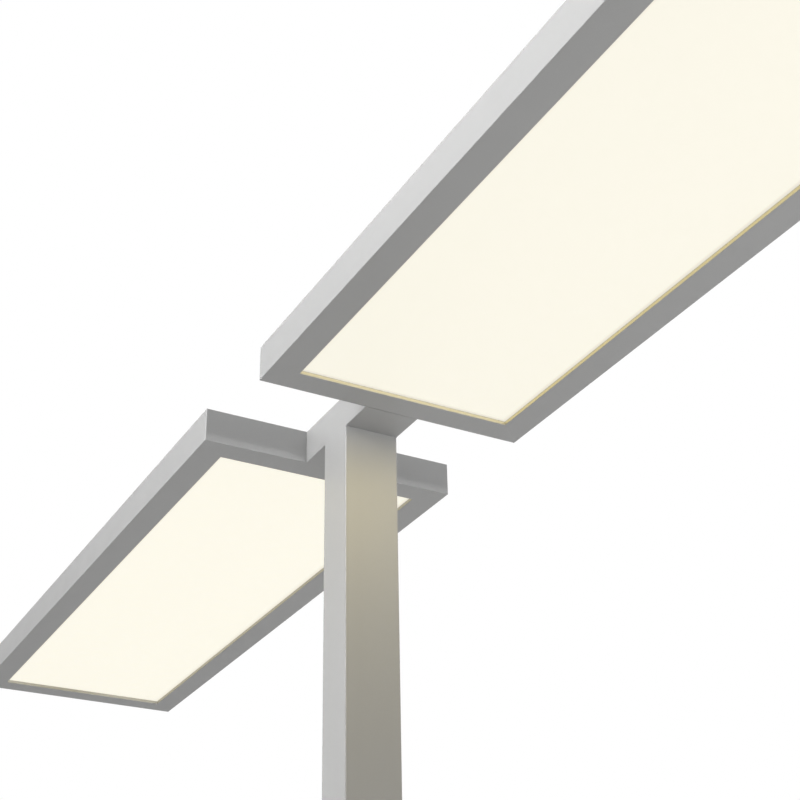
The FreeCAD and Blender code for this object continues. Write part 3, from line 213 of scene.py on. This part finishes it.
class Finish:
    """One procedural finish, built step by step on a plain shader."""

    def __init__(self, title, base, metallic, roughness, stretch=(1, 1, 1)):
        self.material = bpy.data.materials.new(title)
        self.material.use_nodes = True
        self.tree = self.material.node_tree
        self.shader = self.tree.nodes["Principled BSDF"]
        self.set("Base Color", (*base, 1))
        self.set("Metallic", metallic)
        self.set("Roughness", roughness)
        mapping = self.node("ShaderNodeMapping", Scale=stretch)
        self.join(self.node("ShaderNodeTexCoord").outputs["Object"], mapping.inputs["Vector"])
        self.place = mapping.outputs["Vector"]
        self.base = (*base, 1)
        self.surface = None

    def set(self, socket, setting):
        """Puts a plain value on one of the shader's sockets."""
        self.shader.inputs[socket].default_value = setting

    def node(self, kind, **inputs):
        """Adds a node and sets its inputs by name."""
        made = self.tree.nodes.new(kind)
        for socket, setting in inputs.items():
            made.inputs[socket.replace("_", " ")].default_value = setting
        return made

    def join(self, source, target):
        """Joins an output to an input."""
        self.tree.links.new(source, target)

    def noise(self, size, detail=2):
        """Soft random pattern whose features are about the given size."""
        made = self.node("ShaderNodeTexNoise", Scale=1 / size, Detail=detail)
        self.join(self.place, made.inputs["Vector"])
        return made.outputs["Fac"]

    def flakes(self, size):
        """A random value for each small cell."""
        made = self.node("ShaderNodeTexVoronoi", Scale=1 / size)
        self.join(self.place, made.inputs["Vector"])
        split = self.node("ShaderNodeSeparateColor")
        self.join(made.outputs["Color"], split.inputs["Color"])
        return split.outputs["Red"]

    def rim(self, axis, middle, half, width):
        """0 inside a sheet, rising to 1 at its two edges along an axis, alike on both heads."""
        split = self.node("ShaderNodeSeparateXYZ")
        self.join(self.place, split.inputs["Vector"])
        side = self.combined("ABSOLUTE", split.outputs[axis])
        reach = self.combined("ABSOLUTE", self.combined("SUBTRACT", side, middle))
        return self.ranged(reach, (half - width, half), (0, 1))

    def edges(self, width):
        """1 at a sharp outer edge, falling to 0 at the given distance from it."""
        bevel = self.node("ShaderNodeBevel", Radius=width)
        bevel.samples = 4
        dot = self.node("ShaderNodeVectorMath")
        dot.operation = "DOT_PRODUCT"
        self.join(bevel.outputs["Normal"], dot.inputs[0])
        self.join(self.node("ShaderNodeNewGeometry").outputs["Normal"], dot.inputs[1])
        return self.ranged(dot.outputs["Value"], (0.99, 0.85), (0, 1))

    def corners(self):
        """1 on the rounded upright corners, 0 on the flat faces between them."""
        split = self.node("ShaderNodeSeparateXYZ")
        self.join(self.node("ShaderNodeNewGeometry").outputs["Normal"], split.inputs["Vector"])
        both = self.combined("MULTIPLY", split.outputs["X"], split.outputs["Y"])
        return self.ranged(self.combined("MULTIPLY", both, both), (0.02, 0.2), (0, 1))

    def ranged(self, source, old, new):
        """Maps one span of a value to another, held at its ends."""
        made = self.node(
            "ShaderNodeMapRange", From_Min=old[0], From_Max=old[1], To_Min=new[0], To_Max=new[1]
        )
        self.join(source, made.inputs["Value"])
        return made.outputs["Result"]

    def combined(self, operation, *values):
        """Works out a value from others, each an output or a plain number."""
        made = self.node("ShaderNodeMath")
        made.operation = operation
        for value, target in zip(values, made.inputs):
            if isinstance(value, (int, float)):
                target.default_value = value
            else:
                self.join(value, target)
        return made.outputs["Value"]

    def tint(self, amount, other):
        """Mixes another colour into the base by a pattern from 0 to 1."""
        mix = self.node("ShaderNodeMix")
        mix.data_type = "RGBA"
        first, second = (socket for socket in mix.inputs if socket.type == "RGBA")
        base = self.shader.inputs["Base Color"]
        if base.is_linked:
            self.join(base.links[0].from_socket, first)
        else:
            first.default_value = self.base
        second.default_value = (*other, 1)
        self.join(amount, mix.inputs["Factor"])
        self.join(next(out for out in mix.outputs if out.type == "RGBA"), base)

    def shade(self, pattern, amount):
        """Darkens the base by up to the given share where a pattern is low."""
        self.tint(self.ranged(pattern, (0.35, 0.65), (1, 0)), dimmed(self.base[:3], 1 - amount))

    def gloss(self, pattern, low, high):
        """Varies the roughness by a pattern."""
        self.join(self.ranged(pattern, (0.3, 0.7), (low, high)), self.shader.inputs["Roughness"])

    def relief(self, pattern, depth):
        """Raises the surface by a pattern, over any relief it already has."""
        bump = self.node("ShaderNodeBump", Strength=1, Distance=depth)
        self.join(pattern, bump.inputs["Height"])
        if self.surface is not None:
            self.join(self.surface, bump.inputs["Normal"])
        self.surface = bump.outputs["Normal"]
        self.join(self.surface, self.shader.inputs["Normal"])


def slot_nodes(slot):
    """The CAD nodes that take their finish from a slot of the record."""
    return [part["node"] for part in frame["record"]["subparts"] if part["material_slot"] == slot]


def dress(names, finish):
    """Puts a finish on CAD nodes."""
    for name in names:
        sockets = frame["nodes"][name].data.materials
        sockets.clear()
        sockets.append(finish.material)


def silver_paint(title, paint, worn_edges):
    """Satin paint with fine metal flake, a sprayed grain and faint clouds in its gloss."""
    finish = Finish(title, paint.paint, paint.metallic, paint.roughness)
    clouds, gloss_clouds, ripples = 120 * MM, 35 * MM, 6 * MM
    dullest, glossiest = paint.roughness + 0.035, paint.roughness - 0.035
    finish.shade(finish.flakes(paint.flake_size), 0.06)
    finish.shade(finish.noise(clouds), 0.025)
    finish.gloss(finish.noise(gloss_clouds, 4), glossiest, dullest)
    finish.relief(finish.noise(paint.grain_size, 3), paint.grain_depth)
    finish.relief(finish.noise(ripples), 2 * paint.grain_depth)
    finish.set("Coat Weight", 0.04)
    finish.set("Coat Roughness", 0.3)
    if worn_edges:
        patchy = finish.ranged(finish.noise(25 * MM, 5), (0.45, 0.65), (0, 1))
        finish.tint(finish.combined("MULTIPLY", finish.edges(paint.wear_width), patchy), paint.worn)
    return finish


def moulded(title, base, roughness, grain, depth):
    """Plastic with a fine moulded grain and faint clouds in its gloss."""
    finish = Finish(title, base, 0, roughness)
    clouds, gloss_clouds = 18 * MM, 9 * MM
    finish.shade(finish.noise(clouds, 3), 0.05)
    finish.gloss(finish.noise(gloss_clouds, 4), roughness - 0.06, roughness + 0.06)
    finish.relief(finish.noise(grain, 3), depth)
    return finish


def plated(title, base, roughness):
    """Thin plating with faint clouds."""
    finish = Finish(title, base, 1, roughness)
    clouds, gloss_clouds, crystals = 3 * MM, 1.2 * MM, 0.3 * MM
    finish.shade(finish.noise(clouds, 4), 0.18)
    finish.gloss(finish.noise(gloss_clouds, 3), roughness - 0.08, roughness + 0.1)
    finish.relief(finish.noise(crystals), 0.004 * MM)
    return finish


# ---------------------------------------------------------------- pieces


def settings(context):
    """The lamp's settings, by short names."""
    scene = context.scene
    return {
        "paint": scene.lamp_paint,
        "panels": scene.lamp_panels,
        "metals": scene.lamp_metals,
        "plastics": scene.lamp_plastics,
        "details": scene.lamp_details,
        "studio": scene.lamp_studio,
    }


def new_piece(name, mesh, finish, body):
    """Makes a finished piece of a bmesh, which rides on a body."""
    bmesh.ops.recalc_face_normals(mesh, faces=mesh.faces)
    data = bpy.data.meshes.new(name)
    mesh.to_mesh(data)
    mesh.free()
    data.materials.append(finish.material)
    piece = bpy.data.objects.new(name, data)
    bpy.context.scene.collection.objects.link(piece)
    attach(piece, body)
    return piece


class LAMP_OT_paint(bpy.types.Operator):
    """Paint the post, the beam, the heads and the base"""

    bl_idname = "lamp.paint"
    bl_label = "Silver paint"

    def execute(self, context):
        paint = settings(context)["paint"]
        # No rubbed edges on the post and the channel of the beam, so that their seam stays plain.
        smooth = [name for name in slot_nodes("frame_finish") if name in SMOOTH_NODES]
        edged = [name for name in slot_nodes("frame_finish") if name not in smooth]
        post = silver_paint("post_paint", paint, False)
        # Painted shade: the rounded corners are painted darker, so that they don't stand out as bright
        # lines.
        post.tint(post.corners(), dimmed(paint.paint, 0.7))
        dress(smooth, post)
        dress(edged, silver_paint("head_paint", paint, True))
        base = silver_paint("base_paint", paint, True)
        dusty = base.ranged(base.noise(60 * MM, 5), (0.5, 0.75), (0, 0.25))
        base.tint(dusty, paint.worn)
        dress(slot_nodes("base_finish"), base)
        return {"FINISHED"}


class LAMP_OT_panels(bpy.types.Operator):
    """Finish the opal sheets and what lies behind them, and light them"""

    bl_idname = "lamp.panels"
    bl_label = "Lit panels"

    def execute(self, context):
        panels = settings(context)["panels"]
        lenses = [name for name in slot_nodes("opal_diffuser") if name.endswith("_lens")]
        dress(lenses, self.acrylic("opal_lens", panels, panels.lens_strength))
        # Painted shade: the opal is painted darker along the rails, which shade it. The heads mirror
        # each other, so one opening serves both.
        low, high = self.opening("right")
        for head in HEADS:
            opal = self.acrylic(f"{head}_opal_sheet", panels, getattr(panels, f"{head}_strength"))
            ends = opal.rim("X", (low.x + high.x) / 2, (high.x - low.x) / 2, panels.edge_shade_width)
            sides = opal.rim("Y", 0, high.y, panels.edge_shade_width)
            opal.tint(opal.combined("MAXIMUM", ends, sides), dimmed(panels.opal, 0.1))
            dress([f"{head}_diffuser"], opal)

        clear = Finish("clear_acrylic", panels.clear, 0, 0.06)
        clear.set("IOR", ACRYLIC_INDEX)
        clear.set("Transmission Weight", 0.9)
        clear.gloss(clear.flakes(2.5 * MM), 0.05, 0.3)
        clear.relief(clear.noise(1.5 * MM), 0.02 * MM)
        dress(slot_nodes("clear_guide"), clear)

        film = moulded("white_film", panels.film, 0.55, 0.4 * MM, 0.006 * MM)
        dress(slot_nodes("film"), film)
        sheet = moulded("white_sheet_paint", panels.white, 0.5, 1.4 * MM, 0.02 * MM)
        dress(slot_nodes("white_sheet"), sheet)

        for head in HEADS:
            self.glow(head, panels, getattr(panels, f"{head}_glow"))
        return {"FINISHED"}

    def acrylic(self, title, panels, brightness):
        """Satin opal acrylic, lit from behind."""
        opal = Finish(title, panels.opal, 0, 0.45)
        opal.set("Emission Color", (*panels.light, 1))
        opal.set("Emission Strength", brightness)
        opal.set("IOR", ACRYLIC_INDEX)
        opal.gloss(opal.noise(14 * MM, 3), 0.40, 0.50)
        opal.relief(opal.noise(0.5 * MM, 2), 0.004 * MM)
        return opal

    def opening(self, head):
        """Two corners of the opening inside a head's four rails."""
        rails = [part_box(f"{head}_{rail}_rail") for rail in ("front", "back", "inner", "outer")]
        border = rails[0][1].y - rails[0][0].y
        low = Vector(map(min, *(box[0] for box in rails)))
        high = Vector(map(max, *(box[1] for box in rails)))
        inset = Vector((border, border, 0))
        return low + inset, high - inset

    def glow(self, head, panels, watts):
        """Lights the walls of the opening, the post and the floor from just below a panel."""
        low, high = self.opening(head)
        lamp = bpy.data.lights.new(f"{head}_panel_glow", "AREA")
        lamp.shape = "RECTANGLE"
        lamp.size = high.x - low.x
        lamp.size_y = high.y - low.y
        lamp.energy = watts
        lamp.color = panels.glow
        holder = bpy.data.objects.new(lamp.name, lamp)
        holder.location = (low + high) / 2
        holder.location.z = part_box(f"{head}_diffuser")[0].z - panels.glow_gap
        holder.visible_camera = False
        bpy.context.scene.collection.objects.link(holder)


class LAMP_OT_metals(bpy.types.Operator):
    """Finish the milled blocks, the screws and the pins"""

    bl_idname = "lamp.metals"
    bl_label = "Bare metal"

    def execute(self, context):
        metals = settings(context)["metals"]
        milled = Finish("milled_aluminium", metals.aluminium, 1, 0.36, stretch=(1, 1, 14))
        milled.shade(milled.noise(2.5 * MM, 4), 0.12)
        milled.gloss(milled.noise(4 * MM, 3), 0.28, 0.44)
        milled.relief(milled.noise(0.9 * MM, 3), 0.01 * MM)
        dress(slot_nodes("plain_aluminium"), milled)
        dress(slot_nodes("screws"), plated("zinc_plate", metals.zinc, 0.34))
        dress(slot_nodes("pins"), plated("nickel_plate", metals.nickel, 0.22))
        return {"FINISHED"}


class LAMP_OT_plastics(bpy.types.Operator):
    """Finish the moulded parts, the boards and the cables"""

    bl_idname = "lamp.plastics"
    bl_label = "Plastics"

    def execute(self, context):
        plastics = settings(context)["plastics"]
        fine, coarse = 0.35 * MM, 0.7 * MM
        for slot, base, roughness, grain, depth in (
            ("control_plastic", plastics.control, 0.48, coarse, 0.03 * MM),
            ("button_plastic", plastics.button, 0.42, fine, 0.012 * MM),
            ("inlet_plastic", plastics.inlet, 0.4, coarse, 0.02 * MM),
            ("supply_case", plastics.case, 0.5, coarse, 0.03 * MM),
            ("terminal", plastics.nylon, 0.38, fine, 0.01 * MM),
            ("cable_sheath", plastics.sheath, 0.5, fine, 0.02 * MM),
            ("boards", plastics.board, 0.3, 1.2 * MM, 0.01 * MM),
        ):
            dress(slot_nodes(slot), moulded(f"{slot}_finish", base, roughness, grain, depth))
        return {"FINISHED"}


class LAMP_OT_marks(bpy.types.Operator):
    """Raise a plus on the upper push button and a minus on the lower one"""

    bl_idname = "lamp.marks"
    bl_label = "Button marks"

    def execute(self, context):
        details = settings(context)["details"]
        colours = settings(context)["plastics"]
        plastic = moulded("mark_plastic", colours.mark, 0.35, 0.3 * MM, 0.006 * MM)
        for button in BUTTONS:
            self.mark(button, button == BUTTONS[0], details, plastic)
        return {"FINISHED"}

    def mark(self, button, crossed, details, plastic):
        """One mark: a flat bar, or a flat cross, with its top edges rounded."""
        mesh = bmesh.new()
        bmesh.ops.create_grid(mesh, x_segments=3, y_segments=3, size=details.mark_reach)
        half = details.mark_width / 2
        # The inner lines of the grid move to the sides of the arms.
        for vertex in mesh.verts:
            for axis in (0, 1):
                if abs(vertex.co[axis]) < details.mark_reach / 2:
                    vertex.co[axis] = math.copysign(half, vertex.co[axis])
        spare = []
        for face in mesh.faces:
            middle = face.calc_center_median()
            beside, above = abs(middle.x) > half, abs(middle.y) > half
            if above and (beside or not crossed):
                spare.append(face)
        bmesh.ops.delete(mesh, geom=spare, context="FACES")
        raised = bmesh.ops.extrude_face_region(mesh, geom=mesh.faces[:])
        top = [item for item in raised["geom"] if isinstance(item, bmesh.types.BMVert)]
        bmesh.ops.translate(mesh, verts=top, vec=(0, 0, details.mark_height))
        fold = math.radians(30)
        rim = [
            edge
            for edge in mesh.edges
            if edge.verts[0] in top and edge.verts[1] in top and edge.calc_face_angle(0) > fold
        ]
        bmesh.ops.bevel(
            mesh, geom=rim, offset=0.4 * details.mark_height, offset_type="OFFSET", segments=3,
            profile=0.5, affect="EDGES", material=-1,
        )
        low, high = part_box(button)
        middle = Vector(((low.x + high.x) / 2, low.y, (low.z + high.z) / 2))
        stand_up = Matrix.Translation(middle) @ Matrix.Rotation(math.radians(90), 4, "X")
        bmesh.ops.transform(mesh, matrix=stand_up, verts=mesh.verts)
        new_piece(button.replace("button", "mark"), mesh, plastic, button)


class LAMP_OT_glides(bpy.types.Operator):
    """Turn the six rubber glides, with ring grooves underneath"""

    bl_idname = "lamp.glides"
    bl_label = "Rubber glides"

    def execute(self, context):
        details = settings(context)["details"]
        colours = settings(context)["plastics"]
        rubber = moulded("glide_rubber_finish", colours.rubber, 0.7, 0.5 * MM, 0.03 * MM)
        dusty = rubber.ranged(rubber.noise(5 * MM, 4), (0.45, 0.7), (0, 0.5))
        rubber.tint(dusty, colours.dust)
        low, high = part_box("glides")
        mesh = bmesh.new()
        for x in (low.x + GLIDE_RADIUS, 0, high.x - GLIDE_RADIUS):
            for y in (low.y + GLIDE_RADIUS, high.y - GLIDE_RADIUS):
                self.turn(mesh, details, high.z, Vector((x, y, 0)))
        piece = new_piece("glide_treads", mesh, rubber, STAND)
        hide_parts("glides")
        return {"FINISHED"}

    def turn(self, mesh, details, height, place):
        """One glide, spun from its section."""
        section = [(0, 0)]
        pitch = (GLIDE_RADIUS - GLIDE_RIM) / details.groove_count
        for number in range(1, details.groove_count + 1):
            start = number * pitch - details.groove_width / 2
            end = start + details.groove_width
            section += [
                (start, 0),
                (start + GROOVE_SLOPE, details.groove_depth),
                (end - GROOVE_SLOPE, details.groove_depth),
                (end, 0),
            ]
        section += [
            (GLIDE_RADIUS - GLIDE_CHAMFER, 0),
            (GLIDE_RADIUS, GLIDE_CHAMFER),
            (GLIDE_RADIUS, height),
            (0, height),
        ]
        points = [mesh.verts.new(place + Vector((r, 0, z))) for r, z in section]
        lines = [mesh.edges.new(pair) for pair in zip(points, points[1:])]
        bmesh.ops.spin(
            mesh, geom=points + lines, cent=place, axis=(0, 0, 1), angle=math.tau,
            steps=TURN_STEPS, use_merge=True,
        )
        bmesh.ops.remove_doubles(mesh, verts=mesh.verts, dist=WELD_GAP)


# ---------------------------------------------------------------- studio

FLOOR_RADIUS = 30
FADE_START = 0.5  # from the middle of the lamp, where the floor begins to fade to white
FADE_END = 2.2
SENSOR_WIDTH = 36  # millimetres, as the lens is given

# Each light's name, power in watts, size, place, the point it faces and its beam in degrees.
STUDIO_LIGHTS = (
    ("front_light", 104, 2.6, (0.4, -3.6, 3.2), (0.1, -0.1, 1.9), 180),
    ("front_beam", 4.0, 1.2, (0.5, -3.2, 3.2), (0.35, -0.1, 1.95), 35),
    ("low_beam", 0.17, 0.2, (3.2, 0.1, 1.78), (0.03, 0.0, 1.96), 12),
    ("right_light", 14, 1.5, (1.6, -1.2, 4.4), (0.0, 0.0, 1.9), 180),
    ("side_light", 17, 2.2, (-1.4, -1.9, 4.6), (0.0, -0.1, 1.9), 180),
    ("back_light", 36, 1.8, (0.3, 3.9, 2.4), (0.0, 0.0, 1.9), 180),
    ("floor_light", 38, 2.0, (-0.8, 2.8, 1.5), (-0.8, 2.2, 0.0), 180),
    ("top_light", 80, 2.5, (0.0, 0.9, 4.8), (0.0, 0.4, 0.0), 180),
)


class LAMP_OT_studio(bpy.types.Operator):
    """Set up the floor, the light and the camera"""

    bl_idname = "lamp.studio"
    bl_label = "Studio"

    def execute(self, context):
        studio = settings(context)["studio"]
        self.lay_floor(studio)
        self.light_world(context, studio)
        for name, *light in STUDIO_LIGHTS:
            self.hang_light(name, studio.lights, *light)
        self.place_camera(context, studio)
        context.scene.view_settings.view_transform = "Standard"
        return {"FINISHED"}

    def lay_floor(self, studio):
        """A wide pale floor, which can be looked through from below."""
        mesh = bmesh.new()
        bmesh.ops.create_circle(mesh, cap_ends=True, radius=FLOOR_RADIUS, segments=96)
        data = bpy.data.meshes.new("floor")
        mesh.to_mesh(data)
        mesh.free()
        finish = Finish("floor_paint", studio.floor, 0, 0.6)
        finish.shade(finish.noise(400 * MM, 3), 0.01)
        finish.relief(finish.noise(3 * MM, 2), 0.02 * MM)
        # Seen from above, the floor fades to the white of the background away from the lamp.
        white = finish.node("ShaderNodeEmission", Color=(1, 1, 1, 1), Strength=1)
        away = finish.node("ShaderNodeVectorMath")
        away.operation = "LENGTH"
        finish.join(finish.place, away.inputs[0])
        fade = finish.ranged(away.outputs["Value"], (FADE_START, FADE_END), (0, 1))
        seen = finish.node("ShaderNodeLightPath").outputs["Is Camera Ray"]
        faded = finish.node("ShaderNodeMixShader")
        finish.join(finish.combined("MULTIPLY", fade, seen), faded.inputs["Fac"])
        finish.join(finish.shader.outputs["BSDF"], faded.inputs[1])
        finish.join(white.outputs["Emission"], faded.inputs[2])
        below = finish.node("ShaderNodeNewGeometry").outputs["Backfacing"]
        open_below = finish.node("ShaderNodeMixShader")
        finish.join(finish.combined("MULTIPLY", below, seen), open_below.inputs["Fac"])
        finish.join(faded.outputs["Shader"], open_below.inputs[1])
        finish.join(finish.node("ShaderNodeBsdfTransparent").outputs["BSDF"], open_below.inputs[2])
        output = finish.tree.nodes["Material Output"]
        finish.join(open_below.outputs["Shader"], output.inputs["Surface"])
        data.materials.append(finish.material)
        floor = bpy.data.objects.new("floor", data)
        bpy.context.scene.collection.objects.link(floor)

    def light_world(self, context, studio):
        """Even light from all round, in front of a white background."""
        world = bpy.data.worlds.new("studio_light")
        world.use_nodes = True
        context.scene.world = world
        nodes, links = world.node_tree.nodes, world.node_tree.links
        path = nodes.new("ShaderNodeLightPath")
        backdrop = nodes.new("ShaderNodeBackground")
        backdrop.inputs["Strength"].default_value = 1
        backdrop.inputs["Color"].default_value = (1, 1, 1, 1)
        even = nodes["Background"]
        even.inputs["Color"].default_value = (1, 1, 1, 1)
        even.inputs["Strength"].default_value = studio.ambient
        rays = path.outputs["Is Camera Ray"]
        for kind in ("Is Glossy Ray", "Is Transmission Ray"):
            either = nodes.new("ShaderNodeMath")
            either.operation = "MAXIMUM"
            links.new(rays, either.inputs[0])
            links.new(path.outputs[kind], either.inputs[1])
            rays = either.outputs["Value"]
        mix = nodes.new("ShaderNodeMixShader")
        links.new(rays, mix.inputs["Fac"])
        links.new(even.outputs["Background"], mix.inputs[1])
        links.new(backdrop.outputs["Background"], mix.inputs[2])
        links.new(mix.outputs["Shader"], nodes["World Output"].inputs["Surface"])

    def hang_light(self, name, level, watts, size, place, target, beam):
        """A square light that faces a point, with its beam held to an angle."""
        lamp = bpy.data.lights.new(name, "AREA")
        lamp.shape = "SQUARE"
        lamp.size = size
        lamp.energy = level * watts
        lamp.spread = math.radians(beam)
        holder = bpy.data.objects.new(name, lamp)
        holder.location = place
        holder.rotation_mode = "QUATERNION"
        holder.rotation_quaternion = (Vector(target) - Vector(place)).to_track_quat("-Z", "Y")
        holder.visible_camera = False
        bpy.context.scene.collection.objects.link(holder)

    def place_camera(self, context, studio):
        """The camera, below the heads and to one side, as in the photograph."""
        lens = bpy.data.cameras.new("camera")
        lens.sensor_width = SENSOR_WIDTH
        lens.lens = studio.focal_length
        lens.clip_start = 0.02
        lens.clip_end = 200
        camera = bpy.data.objects.new("camera", lens)
        camera.location = studio.camera
        sight = (Vector(studio.aim) - Vector(studio.camera)).to_track_quat("-Z", "Y")
        camera.rotation_mode = "QUATERNION"
        camera.rotation_quaternion = sight @ Quaternion((0, 0, 1), studio.roll)
        context.scene.collection.objects.link(camera)
        context.scene.camera = camera


# ---------------------------------------------------------------- add-on

SETTINGS = {
    "lamp_paint": LampPaint,
    "lamp_panels": LampPanels,
    "lamp_metals": LampMetals,
    "lamp_plastics": LampPlastics,
    "lamp_details": LampDetails,
    "lamp_studio": LampStudio,
}
STEPS = (
    LAMP_OT_paint,
    LAMP_OT_panels,
    LAMP_OT_metals,
    LAMP_OT_plastics,
    LAMP_OT_marks,
    LAMP_OT_glides,
    LAMP_OT_studio,
)


class LAMP_PT_sidebar(bpy.types.Panel):
    """Lists the steps that finish the lamp, with their settings"""

    bl_label = "Floor Lamp"
    bl_idname = "LAMP_PT_sidebar"
    bl_space_type = "VIEW_3D"
    bl_region_type = "UI"
    bl_category = "Floor Lamp"

    def draw(self, context):
        layout = self.layout
        for step in STEPS:
            layout.operator(step.bl_idname)
        for group in SETTINGS:
            box = layout.box()
            values = getattr(context.scene, group)
            for name in values.__annotations__:
                box.prop(values, name)


def register():
    for kind in (*SETTINGS.values(), *STEPS, LAMP_PT_sidebar):
        bpy.utils.register_class(kind)
    for name, kind in SETTINGS.items():
        setattr(bpy.types.Scene, name, PointerProperty(type=kind))


def unregister():
    for name in SETTINGS:
        delattr(bpy.types.Scene, name)
    for kind in reversed((*SETTINGS.values(), *STEPS, LAMP_PT_sidebar)):
        bpy.utils.unregister_class(kind)


def main():
    register()
    for step in STEPS:
        group, name = step.bl_idname.split(".")
        getattr(getattr(bpy.ops, group), name)()


if __name__ == "__main__":
    main()
